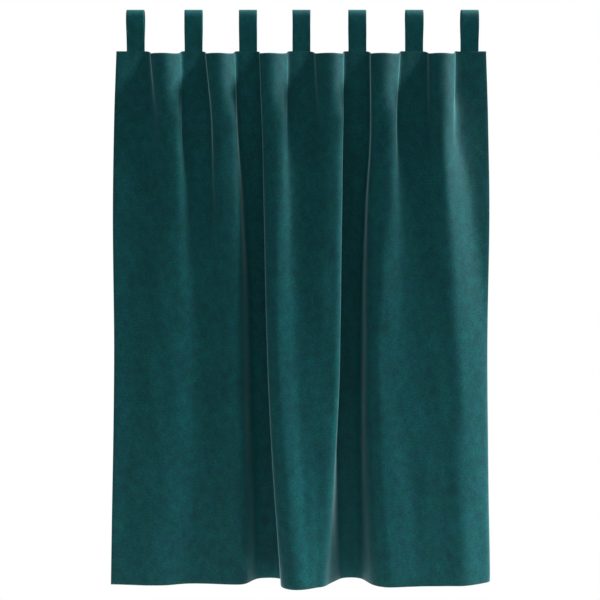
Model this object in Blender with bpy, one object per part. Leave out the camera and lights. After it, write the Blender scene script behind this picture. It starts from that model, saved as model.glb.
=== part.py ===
"""Tab-top velvet drape as it hangs: one panel that falls in uneven folds, and seven hanging tabs.

Metres, +Z up. X runs across the drape and its front faces -Y. The origin is the middle of the
line that the tabs hang on, against the inside of their crowns.
"""

from collections import namedtuple

import bmesh
import bpy
import numpy as np

MM = 0.001

# The panel: one cut length of cloth with its hems turned in.
CLOTH_WIDTH = 1.400
CLOTH_THICKNESS = 0.0024
HEADING_Z = -0.1242
HEM_Z = -1.748
HEADING_SAG = 0.016
PANEL_COLUMNS = 98
PANEL_ROWS = 15
ROWS_CROWD_UP = 1.35

# The tabs: strips folded over into loops, with both ends caught in the heading.
TAB_CENTRES = (-0.5066, -0.3294, -0.1625, 0.0005, 0.1718, 0.3453, 0.5152)
TAB_WIDTH = 0.0550
STRIP_THICKNESS = 0.0022
LOOP_HALF_DEPTH = 0.0105
CROWN_HEIGHT = 0.0220
TAB_FOOT_DEPTH = 0.0032
SEAM_GAP = 0.0003
LEG_STEPS = 7
CROWN_STEPS = 12
LOOP_BOTTOM_HALF_GAP = 0.0002

# The five heights at which the folds are given, as shares of the drop from heading to hem.
Levels = namedtuple("Levels", "heading shoulder chest waist hem")
LEVEL_DROPS = Levels(0.0, 0.14, 0.29, 0.57, 1.0)

# Where the panel's side edges and the walls of its six folds stand, in mm across from the middle.
# A fold is what comes forward between two tabs, and it has a left and a right wall.
ACROSS_MM = {
    "left edge": Levels(-566, -572, -574, -569, -577),
    "fold 1 left": Levels(-459, -443, -455, -478, -515),
    "fold 1 right": Levels(-368, -366, -350, -344, -380),
    "fold 2 left": Levels(-290, -270, -263, -254, -262),
    "fold 2 right": Levels(-204, -196, -182, -170, -155),
    "fold 3 left": Levels(-126, -117, -108, -97, -60),
    "fold 3 right": Levels(-42, -45, -42, -34, 16),
    "fold 4 left": Levels(42, 52, 45, 34, 40),
    "fold 4 right": Levels(129, 124, 118, 111, 94),
    "fold 5 left": Levels(211, 213, 201, 191, 202),
    "fold 5 right": Levels(301, 288, 290, 276, 320),
    "fold 6 left": Levels(387, 388, 386, 394, 410),
    "fold 6 right": Levels(469, 466, 491, 534, 548),
    "right edge": Levels(566, 573, 577, 571, 577),
}

# How far each wall runs sideways from its foot to its shoulder, in mm. Below 0, it overhangs.
WALL_RUN_MM = {
    "fold 1 left": Levels(8, 26, 60, 60, 60),
    "fold 1 right": Levels(6, 5, 20, 46, 60),
    "fold 2 left": Levels(6, 8, 18, 40, 60),
    "fold 2 right": Levels(6, 6, 20, 32, 40),
    "fold 3 left": Levels(2, -2, -8, -10, 2),
    "fold 3 right": Levels(8, 8, 20, 34, 20),
    "fold 4 left": Levels(12, 18, 28, 36, 14),
    "fold 4 right": Levels(4, -4, -6, -6, 54),
    "fold 5 left": Levels(4, 4, 14, 22, 34),
    "fold 5 right": Levels(8, 5, 22, 56, 60),
    "fold 6 left": Levels(8, 16, 40, 60, 60),
    "fold 6 right": Levels(6, 23, 50, 56, 50),
}

# How far forward of the tabs the crests of the folds and the hollows between them lie, in mm.
FORWARD_MM = {
    "left edge": Levels(0, 6, 14, 24, 33),
    "fold 1": Levels(42, 34, 34, 38, 44),
    "hollow 2": Levels(0, 4, 12, 18, 21),
    "fold 2": Levels(42, 38, 41, 42, 35),
    "hollow 3": Levels(0, -8, -20, -34, -44),
    "fold 3": Levels(42, 40, 54, 74, 93),
    "hollow 4": Levels(0, 12, 32, 60, 80),
    "fold 4": Levels(42, 41, 54, 67, 64),
    "hollow 5": Levels(0, -8, -22, -38, -48),
    "fold 5": Levels(42, 41, 48, 57, 65),
    "hollow 6": Levels(0, 12, 28, 46, 54),
    "fold 6": Levels(42, 46, 49, 50, 50),
    "right edge": Levels(0, -2, -4, -8, -4),
}

FOLDS = 6
# The heights of a wall's foot and shoulder, as shares of its rise from the hollow to the crest. The
# foot on the right of the last fold is given for each height, and a right shoulder for each fold.
FOOT_RISE = 0.10
LAST_FOOT_RISES = Levels(0.10, 0.12, 0.15, 0.16, 0.15)
SHOULDER_RISE = 0.78
RIGHT_SHOULDER_RISES = (0.92, 0.93, 0.89, 0.95, 0.94, 0.76)
# Just under the tabs each fold leans to the left: its left shoulder is high and its right side slopes
# down to a low shoulder. This fades out between the two shares of the drop.
HEADING_LEFT_RISE = 0.84
HEADING_RIGHT_RISES = (0.28, 0.30, 0.28, 0.42, 0.28, 0.32)
HEADING_FOOT_RISE = 0.02
HEADING_RIGHT_RUN = -3.0
HEADING_FADES = (0.065, 0.125)
# Where a fold's crest lies between its shoulders, and where a hollow is held level between its feet.
CREST_PLACES = (0.50, 0.50, 0.46, 0.50, 0.48, 0.60)
HEADING_CREST_PLACES = (0.56, 0.58, 0.46, 0.68, 0.54, 0.60)
HOLLOW_PLACES = (0.3, 0.7)
# How widely a bend is eased, and out to how many times that width its neighbours count.
SOFTENING = 0.007
SOFTENING_REACH = 3
STRETCH_STEPS = 24
CURVE_SAMPLES = 1400
# The folds' depths are scaled by a factor between these two, found by halving.
DEPTH_FACTORS = (0.6, 1.6)
DEPTH_SOLVE_STEPS = 14

VELVET = (0.0065, 0.048, 0.053, 1.0)
VELVET_ROUGHNESS = 0.9
VELVET_SHEEN = 0.6
SMOOTH_BELOW_DEGREES = 50


def between_levels(levels, drop):
    """The value at this share of the drop, on a smooth curve through the five that never overshoots."""
    at = np.array(LEVEL_DROPS)
    values = np.array(levels, float)
    runs = np.diff(at)
    secants = np.diff(values) / runs
    slopes = np.zeros(len(at))
    slopes[0] = secants[0]
    slopes[-1] = secants[-1]
    for i in range(1, len(at) - 1):
        if secants[i - 1] * secants[i] > 0:
            slopes[i] = 2 / (1 / secants[i - 1] + 1 / secants[i])
    i = int(np.clip(np.searchsorted(at, drop) - 1, 0, len(runs) - 1))
    t = (drop - at[i]) / runs[i]
    start = (1 + 2 * t) * (1 - t) ** 2 * values[i] + t * (1 - t) ** 2 * runs[i] * slopes[i]
    end = t * t * (3 - 2 * t) * values[i + 1] + t * t * (t - 1) * runs[i] * slopes[i + 1]
    return start + end


def smooth_step(value):
    held = np.clip(value, 0, 1)
    return held * held * (3 - 2 * held)


def heading_lean(drop):
    """How much of the lean that the tabs give the folds is left at this share of the drop."""
    start, end = HEADING_FADES
    return 1 - smooth_step((drop - start) / (end - start))


def wall_points(number, side, drop, hollow, crest):
    """The foot and the shoulder of one wall of a fold, as (across, forward) in mm."""
    across = between_levels(ACROSS_MM[f"fold {number} {side}"], drop)
    run = between_levels(WALL_RUN_MM[f"fold {number} {side}"], drop)
    lean = heading_lean(drop)
    if side == "left":
        towards_crest = 1
        foot_rise = FOOT_RISE
        rise = SHOULDER_RISE + (HEADING_LEFT_RISE - SHOULDER_RISE) * lean
    else:
        towards_crest = -1
        free_rise = between_levels(LAST_FOOT_RISES, drop) if number == FOLDS else FOOT_RISE
        foot_rise = free_rise + (HEADING_FOOT_RISE - free_rise) * lean
        full_rise = RIGHT_SHOULDER_RISES[number - 1]
        rise = full_rise + (HEADING_RIGHT_RISES[number - 1] - full_rise) * lean
        run += (HEADING_RIGHT_RUN - run) * lean
    foot = (across - towards_crest * run / 2, hollow + foot_rise * (crest - hollow))
    shoulder = (across + towards_crest * run / 2, hollow + rise * (crest - hollow))
    return foot, shoulder


def plan_points(drop):
    """The points that the cloth passes through at this share of the drop, from left to right, in mm."""
    hollows = [between_levels(FORWARD_MM["left edge"], drop)]
    for number in range(2, FOLDS + 1):
        hollows.append(between_levels(FORWARD_MM[f"hollow {number}"], drop))
    hollows.append(between_levels(FORWARD_MM["right edge"], drop))
    points = [(between_levels(ACROSS_MM["left edge"], drop), hollows[0])]
    for number in range(1, FOLDS + 1):
        crest = between_levels(FORWARD_MM[f"fold {number}"], drop)
        foot, shoulder = wall_points(number, "left", drop, hollows[number - 1], crest)
        last_foot = points[-1]
        if number > 1:
            for share in HOLLOW_PLACES:
                across = last_foot[0] + share * (foot[0] - last_foot[0])
                points.append((across, hollows[number - 1]))
        far_foot, far_shoulder = wall_points(number, "right", drop, hollows[number], crest)
        place = CREST_PLACES[number - 1]
        place += (HEADING_CREST_PLACES[number - 1] - place) * heading_lean(drop)
        crest_across = shoulder[0] + place * (far_shoulder[0] - shoulder[0])
        points += [foot, shoulder, (crest_across, crest), far_shoulder, far_foot]
    points.append((between_levels(ACROSS_MM["right edge"], drop), hollows[-1]))
    return np.array(points)


def smooth_curve(points):
    """A centripetal Catmull-Rom curve through the points, evenly sampled."""
    before = 2 * points[0] - points[1]
    after = 2 * points[-1] - points[-2]
    all_points = np.vstack([before, points, after])
    spans = np.linalg.norm(np.diff(all_points, axis=0), axis=1)
    knots = np.concatenate([[0], np.cumsum(spans**0.5)])
    samples = []
    steps = np.linspace(0, 1, STRETCH_STEPS, endpoint=False)
    for i in range(1, len(all_points) - 2):
        p0, p1, p2, p3 = all_points[i - 1 : i + 3]
        t0, t1, t2, t3 = knots[i - 1 : i + 3]
        t = (t1 + steps * (t2 - t1))[:, None]
        a1 = (t1 - t) / (t1 - t0) * p0 + (t - t0) / (t1 - t0) * p1
        a2 = (t2 - t) / (t2 - t1) * p1 + (t - t1) / (t2 - t1) * p2
        a3 = (t3 - t) / (t3 - t2) * p2 + (t - t2) / (t3 - t2) * p3
        b1 = (t2 - t) / (t2 - t0) * a1 + (t - t0) / (t2 - t0) * a2
        b2 = (t3 - t) / (t3 - t1) * a2 + (t - t1) / (t3 - t1) * a3
        samples.append((t2 - t) / (t2 - t1) * b1 + (t - t1) / (t2 - t1) * b2)
    samples.append(points[-1:])
    return evenly_spaced(np.vstack(samples), CURVE_SAMPLES)


def evenly_spaced(curve, count):
    """The same curve as count + 1 points, equally far apart along it."""
    along = np.concatenate([[0], np.cumsum(np.linalg.norm(np.diff(curve, axis=0), axis=1))])
    at = np.linspace(0, along[-1], count + 1)
    return np.column_stack([np.interp(at, along, curve[:, 0]), np.interp(at, along, curve[:, 1])])


def softened(curve):
    """The curve with each bend eased, as stiff cloth eases it. Its two ends stay where they are."""
    spacing = np.linalg.norm(np.diff(curve, axis=0), axis=1).mean()
    reach = int(SOFTENING_REACH * SOFTENING / spacing)
    offsets = np.arange(-reach, reach + 1) * spacing
    weights = np.exp(-0.5 * (offsets / SOFTENING) ** 2)
    weights /= weights.sum()
    lead = 2 * curve[0] - curve[reach:0:-1]
    tail = 2 * curve[-1] - curve[-2 : -reach - 2 : -1]
    padded = np.vstack([lead, curve, tail])
    return np.column_stack([np.convolve(padded[:, i], weights, "valid") for i in (0, 1)])


def plan_curve(drop, count):
    """The cloth seen from above at this share of the drop, as count + 1 (x, y) points in metres.

    Cloth doesn't stretch, so the folds are made just deep enough to take up its whole width.
    """
    points = plan_points(drop) * MM
    shallow, deep = DEPTH_FACTORS
    for _ in range(DEPTH_SOLVE_STEPS):
        depth = (shallow + deep) / 2
        curve = softened(smooth_curve(points * (1, depth)))
        length = np.linalg.norm(np.diff(curve, axis=0), axis=1).sum()
        if length < CLOTH_WIDTH:
            shallow = depth
        else:
            deep = depth
    curve = evenly_spaced(curve, count)
    return curve * (1, -1)


def panel_rows():
    """The panel's middle surface, as an array of rows of points from heading to hem."""
    heading = plan_curve(0.0, PANEL_COLUMNS)
    forward = -heading[:, 1] / -heading[:, 1].min()
    top = HEADING_Z - HEADING_SAG * (1 - (1 - np.clip(forward, 0, 1)) ** 2)
    rows = []
    for row in range(PANEL_ROWS + 1):
        drop = (row / PANEL_ROWS) ** ROWS_CROWD_UP
        plan = plan_curve(drop, PANEL_COLUMNS)
        rows.append(np.column_stack([plan, top + drop * (HEM_Z - top)]))
    return np.array(rows)


def clear_scene():
    for obj in list(bpy.data.objects):
        bpy.data.objects.remove(obj, do_unlink=True)


def velvet(name):
    material = bpy.data.materials.new(name)
    material.use_nodes = True
    shader = material.node_tree.nodes["Principled BSDF"]
    shader.inputs["Base Color"].default_value = VELVET
    shader.inputs["Roughness"].default_value = VELVET_ROUGHNESS
    shader.inputs["Metallic"].default_value = 0.0
    shader.inputs["Sheen Weight"].default_value = VELVET_SHEEN
    material.diffuse_color = VELVET
    return material


def add_object(name, mesh, material):
    obj = bpy.data.objects.new(name, mesh)
    bpy.context.scene.collection.objects.link(obj)
    if not mesh.materials:
        mesh.materials.append(material)
    return obj


def make_panel():
    """A sheet on the folds, thickened evenly to both sides."""
    rows = panel_rows()
    bm = bmesh.new()
    grid = [[bm.verts.new(point) for point in row] for row in rows]
    for upper, lower in zip(grid, grid[1:]):
        for i in range(PANEL_COLUMNS):
            bm.faces.new((upper[i], lower[i], lower[i + 1], upper[i + 1]))
    mesh = bpy.data.meshes.new("drape")
    bm.to_mesh(mesh)
    bm.free()
    mesh.shade_smooth()
    panel = add_object("drape", mesh, velvet("drape_velvet"))
    thicken = panel.modifiers.new("thickness", "SOLIDIFY")
    thicken.thickness = CLOTH_THICKNESS
    thicken.offset = 0.0
    return panel


def leg_depth(share):
    """A tab's half depth at this share of the way from its foot up to where its crown begins."""
    foot = TAB_FOOT_DEPTH / 2
    return foot + (LOOP_HALF_DEPTH + STRIP_THICKNESS - foot) * smooth_step(share)


def half_outline(inset, lowest_share):
    """Half of a tab's outline this far in from its outside, from its lowest end to its crown's top."""
    foot_z = HEADING_Z + SEAM_GAP
    crown_z = -CROWN_HEIGHT
    points = []
    for step in range(LEG_STEPS):
        share = lowest_share + (1 - lowest_share) * step / LEG_STEPS
        points.append((leg_depth(share) - inset, foot_z + share * (crown_z - foot_z)))
    half_depth = LOOP_HALF_DEPTH + STRIP_THICKNESS - inset
    height = CROWN_HEIGHT + STRIP_THICKNESS - inset
    for step in range(CROWN_STEPS // 2 + 1):
        angle = step / (CROWN_STEPS // 2) * np.pi / 2
        points.append((half_depth * np.cos(angle), crown_z + height * np.sin(angle)))
    return points


def whole_loop(half):
    """A closed outline from its front half, mirrored to the back."""
    front = [(-depth, z) for depth, z in half]
    back = [(depth, z) for depth, z in reversed(half[:-1])]
    return front + back


def tab_outlines():
    """The outer and the inner outline of a tab seen from its side, point for point."""
    foot = TAB_FOOT_DEPTH / 2
    # The two legs part where the tab is as deep as both strips.
    spread = STRIP_THICKNESS + LOOP_BOTTOM_HALF_GAP - foot
    spread /= LOOP_HALF_DEPTH + STRIP_THICKNESS - foot
    part_share = 0.5 - np.sin(np.arcsin(1 - 2 * spread) / 3)
    outer = half_outline(0.0, 0.0)
    inner = half_outline(STRIP_THICKNESS, part_share)
    return whole_loop(outer), whole_loop(inner)


def tab_mesh():
    outer, inner = tab_outlines()
    bm = bmesh.new()
    rings = []
    for outline in (outer, inner):
        for side in (-1, 1):
            rings.append([bm.verts.new((side * TAB_WIDTH / 2, y, z)) for y, z in outline])
    outer_left, outer_right, inner_left, inner_right = rings
    for i in range(len(outer)):
        j = (i + 1) % len(outer)
        bm.faces.new((outer_left[i], outer_right[i], outer_right[j], outer_left[j]))
        bm.faces.new((inner_left[i], inner_left[j], inner_right[j], inner_right[i]))
        bm.faces.new((outer_left[i], outer_left[j], inner_left[j], inner_left[i]))
        bm.faces.new((outer_right[i], inner_right[i], inner_right[j], outer_right[j]))
    bmesh.ops.recalc_face_normals(bm, faces=bm.faces)
    mesh = bpy.data.meshes.new("tab")
    bm.to_mesh(mesh)
    bm.free()
    mesh.shade_smooth()
    mesh.set_sharp_from_angle(angle=np.radians(SMOOTH_BELOW_DEGREES))
    return mesh


def make_tabs():
    mesh = tab_mesh()
    material = velvet("tab_velvet")
    for number, centre in enumerate(TAB_CENTRES, 1):
        tab = add_object(f"tab_{number}", mesh, material)
        tab.location.x = centre


def main():
    clear_scene()
    make_panel()
    make_tabs()


main()
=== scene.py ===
"""Looks of a tab-top velvet drape as it hangs: one operator for each kind of piece.

Metres, +Z up. X runs across the drape and its front faces -Y. The origin is the middle of the
line that the tabs hang on. The cloth is one cut length whose top, bottom and sides are turned to
the back as hems, so its whole pattern runs on one map of the flat cut.
"""

from collections import namedtuple
from functools import reduce

import bpy
import numpy as np
from bpy.props import FloatProperty, FloatVectorProperty, IntProperty, PointerProperty
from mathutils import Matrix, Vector


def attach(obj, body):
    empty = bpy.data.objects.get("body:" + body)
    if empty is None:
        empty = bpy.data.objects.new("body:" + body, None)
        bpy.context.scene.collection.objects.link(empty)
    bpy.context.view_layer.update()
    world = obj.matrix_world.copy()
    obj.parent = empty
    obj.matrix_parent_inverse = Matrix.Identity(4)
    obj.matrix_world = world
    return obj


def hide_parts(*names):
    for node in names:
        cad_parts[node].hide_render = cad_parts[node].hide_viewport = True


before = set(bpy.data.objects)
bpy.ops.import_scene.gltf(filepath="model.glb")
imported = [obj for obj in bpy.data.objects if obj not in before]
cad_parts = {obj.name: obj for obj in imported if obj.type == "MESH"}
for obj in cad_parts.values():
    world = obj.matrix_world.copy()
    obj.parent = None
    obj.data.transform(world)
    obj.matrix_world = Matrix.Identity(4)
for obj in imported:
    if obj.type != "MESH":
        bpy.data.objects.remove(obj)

bl_info = {
    "name": "Tab-top velvet drape",
    "version": (1, 0, 0),
    "blender": (4, 5, 0),
    "location": "3D View > Sidebar > Drape",
    "description": "Makes the cloth, tabs, stitching and studio of a hanging velvet drape",
    "category": "Add Mesh",
}

MM = 0.001
UNIT_MAP_SIZE = 2.0

# The five heights at which the folds are given, as shares of the drop from heading to hem.
Levels = namedtuple("Levels", "heading shoulder chest waist hem")
LEVEL_DROPS = Levels(0.0, 0.14, 0.29, 0.57, 1.0)

# Where the panel's side edges and the walls of its six folds stand, in mm across from the middle.
# A fold is what comes forward between two tabs, and it has a left and a right wall.
ACROSS_MM = {
    "left edge": Levels(-566, -572, -574, -569, -577),
    "fold 1 left": Levels(-459, -443, -455, -478, -515),
    "fold 1 right": Levels(-368, -366, -350, -344, -380),
    "fold 2 left": Levels(-290, -270, -263, -254, -262),
    "fold 2 right": Levels(-204, -196, -182, -170, -155),
    "fold 3 left": Levels(-126, -117, -108, -97, -60),
    "fold 3 right": Levels(-42, -45, -42, -34, 16),
    "fold 4 left": Levels(42, 52, 45, 34, 40),
    "fold 4 right": Levels(129, 124, 118, 111, 94),
    "fold 5 left": Levels(211, 213, 201, 191, 202),
    "fold 5 right": Levels(301, 288, 290, 276, 320),
    "fold 6 left": Levels(387, 388, 386, 394, 410),
    "fold 6 right": Levels(469, 466, 491, 534, 548),
    "right edge": Levels(566, 573, 577, 571, 577),
}

# How far each wall runs sideways from its foot to its shoulder, in mm. Below 0, it overhangs.
WALL_RUN_MM = {
    "fold 1 left": Levels(8, 26, 60, 60, 60),
    "fold 1 right": Levels(6, 5, 20, 46, 60),
    "fold 2 left": Levels(6, 8, 18, 40, 60),
    "fold 2 right": Levels(6, 6, 20, 32, 40),
    "fold 3 left": Levels(2, -2, -8, -10, 2),
    "fold 3 right": Levels(8, 8, 20, 34, 20),
    "fold 4 left": Levels(12, 18, 28, 36, 14),
    "fold 4 right": Levels(4, -4, -6, -6, 54),
    "fold 5 left": Levels(4, 4, 14, 22, 34),
    "fold 5 right": Levels(8, 5, 22, 56, 60),
    "fold 6 left": Levels(8, 16, 40, 60, 60),
    "fold 6 right": Levels(6, 23, 50, 56, 50),
}

# How far forward of the tabs the crests of the folds and the hollows between them lie, in mm.
FORWARD_MM = {
    "left edge": Levels(0, 6, 14, 24, 33),
    "fold 1": Levels(42, 34, 34, 38, 44),
    "hollow 2": Levels(0, 4, 12, 18, 21),
    "fold 2": Levels(42, 38, 41, 42, 35),
    "hollow 3": Levels(0, -8, -20, -34, -44),
    "fold 3": Levels(42, 40, 54, 74, 93),
    "hollow 4": Levels(0, 12, 32, 60, 80),
    "fold 4": Levels(42, 41, 54, 67, 64),
    "hollow 5": Levels(0, -8, -22, -38, -48),
    "fold 5": Levels(42, 41, 48, 57, 65),
    "hollow 6": Levels(0, 12, 28, 46, 54),
    "fold 6": Levels(42, 46, 49, 50, 50),
    "right edge": Levels(0, -2, -4, -8, -4),
}

FOLDS = 6
# The heights of a wall's foot and shoulder, as shares of its rise from the hollow to the crest. The
# foot on the right of the last fold is given for each height, and a right shoulder for each fold.
FOOT_RISE = 0.10
LAST_FOOT_RISES = Levels(0.10, 0.12, 0.15, 0.16, 0.15)
SHOULDER_RISE = 0.78
RIGHT_SHOULDER_RISES = (0.92, 0.93, 0.89, 0.95, 0.94, 0.76)
# Just under the tabs each fold leans to the left: its left shoulder is high and its right side slopes
# down to a low shoulder. This fades out between the two shares of the drop.
HEADING_LEFT_RISE = 0.84
HEADING_RIGHT_RISES = (0.28, 0.30, 0.28, 0.42, 0.28, 0.32)
HEADING_FOOT_RISE = 0.02
HEADING_RIGHT_RUN = -3.0
HEADING_FADES = (0.065, 0.125)
# Where a fold's crest lies between its shoulders, and where a hollow is held level between its feet.
CREST_PLACES = (0.50, 0.50, 0.46, 0.50, 0.48, 0.60)
HEADING_CREST_PLACES = (0.56, 0.58, 0.46, 0.68, 0.54, 0.60)
HOLLOW_PLACES = (0.3, 0.7)
# How widely a bend is eased, and out to how many times that width its neighbours count.
SOFTENING = 0.007
SOFTENING_REACH = 3
STRETCH_STEPS = 24
CURVE_SAMPLES = 1400
# The folds' depths are scaled by a factor between these two, found by halving at some heights.
DEPTH_FACTORS = (0.6, 1.6)
DEPTH_SOLVE_STEPS = 14
DEPTH_SOLVE_HEIGHTS = 25

TAB_CENTRES = (-0.5066, -0.3294, -0.1625, 0.0005, 0.1718, 0.3453, 0.5152)


def measure(name, description, metres):
    return FloatProperty(name=name, description=description, default=metres, unit="LENGTH")


def angle(name, description, degrees):
    return FloatProperty(
        name=name, description=description, default=np.radians(degrees), subtype="ANGLE"
    )


def factor(name, description, share):
    return FloatProperty(name=name, description=description, default=share, subtype="FACTOR")


def colour(name, description, rgb):
    return FloatVectorProperty(
        name=name, description=description, default=rgb, subtype="COLOR", size=3
    )


class DrapeSizes(bpy.types.PropertyGroup):
    """Sizes of the cloth and its tabs."""

    cloth_width: measure(
        "Hemmed width", "Width of the panel along its folds, once its sides are hemmed", 1.400
    )
    cloth_thickness: measure("Cloth thickness", "Thickness of the velvet with its pile", 0.0012)
    front_set: measure(
        "Front set", "How far the cloth's middle lies before the line of the tabs", 0.0009
    )
    heading_z: measure("Heading height", "Height of the top edge at the tabs", -0.1242)
    hem_z: measure("Hem height", "Height of the bottom edge", -1.748)
    heading_sag: measure("Heading sag", "How far the top edge sinks between two tabs", 0.016)
    heading_hem: measure("Heading hem", "Depth of the hem turned to the back at the top", 0.060)
    bottom_hem: measure("Bottom hem", "Depth of the hem turned to the back at the bottom", 0.080)
    side_hem: measure("Side hems", "Width of the hem turned to the back at each side", 0.025)
    turn_under: measure("Turning", "How much of a hem is turned under at its inner edge", 0.009)
    unevenness: measure(
        "Unevenness", "Height of the soft waves left in the cloth between its folds", 0.0006
    )
    columns: IntProperty(
        name="Columns",
        description="Faces across the panel between its side hems",
        default=300,
    )
    rows: IntProperty(
        name="Rows",
        description="Faces down the panel between its heading and its bottom hem",
        default=104,
    )
    tab_width: measure("Tab width", "Width of each tab", 0.0550)
    tab_thickness: measure(
        "Tab thickness", "Thickness of the doubled strip that a tab is made of", 0.0022
    )
    loop_half_depth: measure(
        "Loop half depth", "Half the space between a tab's legs where its crown begins", 0.0105
    )
    crown_height: measure(
        "Crown height", "Height of a tab's rounded crown, measured inside the loop", 0.0220
    )
    tab_tuck: measure("Tab tuck", "How far a tab's ends reach down inside the heading", 0.012)
    stitch_pitch: measure("Stitch pitch", "Distance from one stitch of the hems to the next", 0.0034)


class VelvetFinish(bpy.types.PropertyGroup):
    """Colours and surface of the velvet, its ground and its thread."""

    pile: colour("Pile", "Colour of the pile", (0.0004, 0.0212, 0.0214))
    pile_blue: colour(
        "Pile, bluer", "Colour of the pile where it leans the other way", (0.0006, 0.0195, 0.0233)
    )
    ground: colour("Ground", "Colour of the woven back", (0.0120, 0.0400, 0.0440))
    thread: colour("Thread", "Colour of the sewing thread", (0.0100, 0.0620, 0.0680))
    sheen: factor("Sheen", "How strongly the pile's tips glow at a glancing angle", 0.25)
    sheen_roughness: factor("Sheen roughness", "How widely that glow spreads round a fold", 0.34)


class DrapeStudio(bpy.types.PropertyGroup):
    """The camera, the floor and the light."""

    camera_place: FloatVectorProperty(
        name="Camera place",
        description="Where the camera stands",
        default=(-0.0038, -2.85, -0.8858),
        subtype="TRANSLATION",
        size=3,
    )
    lens: FloatProperty(
        name="Focal length",
        description="Focal length on a sensor 36 mm wide, in millimetres",
        default=55.88,
    )
    key_strength: FloatProperty(
        name="Key light",
        description="Strength of the soft light from the right",
        default=28.5,
    )
    key_spread: angle("Key spread", "How large the soft light looks from the drape", 16)
    key_side: angle(
        "Key side angle", "How far to the right of the camera's axis the light stands", 87
    )
    key_height: angle("Key elevation", "How far above the horizon the light stands", 48)
    dome_strength: FloatProperty(
        name="Surrounding light",
        description="Strength of the even white light from all sides",
        default=1.0,
    )
    floor_drop: measure("Floor below hem", "How far below the hem the floor lies", 1.20)
    floor_size: measure("Floor size", "Length of the floor's sides", 5.0)


# ---------------------------------------------------------------- the folds seen from above


def between_levels(levels, drop):
    """The value at this share of the drop, on a smooth curve through the five that never overshoots."""
    at = np.array(LEVEL_DROPS)
    values = np.array(levels, float)
    runs = np.diff(at)
    secants = np.diff(values) / runs
    slopes = np.zeros(len(at))
    slopes[0] = secants[0]
    slopes[-1] = secants[-1]
    for i in range(1, len(at) - 1):
        if secants[i - 1] * secants[i] > 0:
            slopes[i] = 2 / (1 / secants[i - 1] + 1 / secants[i])
    i = int(np.clip(np.searchsorted(at, drop) - 1, 0, len(runs) - 1))
    t = (drop - at[i]) / runs[i]
    start = (1 + 2 * t) * (1 - t) ** 2 * values[i] + t * (1 - t) ** 2 * runs[i] * slopes[i]
    end = t * t * (3 - 2 * t) * values[i + 1] + t * t * (t - 1) * runs[i] * slopes[i + 1]
    return start + end


def smooth_step(value):
    held = np.clip(value, 0, 1)
    return held * held * (3 - 2 * held)


def heading_lean(drop):
    """How much of the lean that the tabs give the folds is left at this share of the drop."""
    start, end = HEADING_FADES
    return 1 - smooth_step((drop - start) / (end - start))


def wall_points(number, side, drop, hollow, crest):
    """The foot and the shoulder of one wall of a fold, as (across, forward) in mm."""
    across = between_levels(ACROSS_MM[f"fold {number} {side}"], drop)
    run = between_levels(WALL_RUN_MM[f"fold {number} {side}"], drop)
    lean = heading_lean(drop)
    if side == "left":
        towards_crest = 1
        foot_rise = FOOT_RISE
        rise = SHOULDER_RISE + (HEADING_LEFT_RISE - SHOULDER_RISE) * lean
    else:
        towards_crest = -1
        free_rise = between_levels(LAST_FOOT_RISES, drop) if number == FOLDS else FOOT_RISE
        foot_rise = free_rise + (HEADING_FOOT_RISE - free_rise) * lean
        full_rise = RIGHT_SHOULDER_RISES[number - 1]
        rise = full_rise + (HEADING_RIGHT_RISES[number - 1] - full_rise) * lean
        run += (HEADING_RIGHT_RUN - run) * lean
    foot = (across - towards_crest * run / 2, hollow + foot_rise * (crest - hollow))
    shoulder = (across + towards_crest * run / 2, hollow + rise * (crest - hollow))
    return foot, shoulder


def plan_points(drop):
    """The points that the cloth passes through at this share of the drop, from left to right, in mm."""
    hollows = [between_levels(FORWARD_MM["left edge"], drop)]
    for number in range(2, FOLDS + 1):
        hollows.append(between_levels(FORWARD_MM[f"hollow {number}"], drop))
    hollows.append(between_levels(FORWARD_MM["right edge"], drop))
    points = [(between_levels(ACROSS_MM["left edge"], drop), hollows[0])]
    for number in range(1, FOLDS + 1):
        crest = between_levels(FORWARD_MM[f"fold {number}"], drop)
        foot, shoulder = wall_points(number, "left", drop, hollows[number - 1], crest)
        last_foot = points[-1]
        if number > 1:
            for share in HOLLOW_PLACES:
                across = last_foot[0] + share * (foot[0] - last_foot[0])
                points.append((across, hollows[number - 1]))
        far_foot, far_shoulder = wall_points(number, "right", drop, hollows[number], crest)
        place = CREST_PLACES[number - 1]
        place += (HEADING_CREST_PLACES[number - 1] - place) * heading_lean(drop)
        crest_across = shoulder[0] + place * (far_shoulder[0] - shoulder[0])
        points += [foot, shoulder, (crest_across, crest), far_shoulder, far_foot]
    points.append((between_levels(ACROSS_MM["right edge"], drop), hollows[-1]))
    return np.array(points)


def unit(vectors):
    return vectors / np.linalg.norm(vectors, axis=-1, keepdims=True)


def distances(line):
    """How far along a line of points each of them lies."""
    return np.concatenate([[0], np.cumsum(np.linalg.norm(np.diff(line, axis=0), axis=1))])


def read_off(at, along, values):
    """The rows of values at these places along them."""
    return np.column_stack([np.interp(at, along, column) for column in values.T])


def evenly_spaced(curve, count):
    """The same curve as count + 1 points, equally far apart along it."""
    along = distances(curve)
    return read_off(np.linspace(0, along[-1], count + 1), along, curve)


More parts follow.
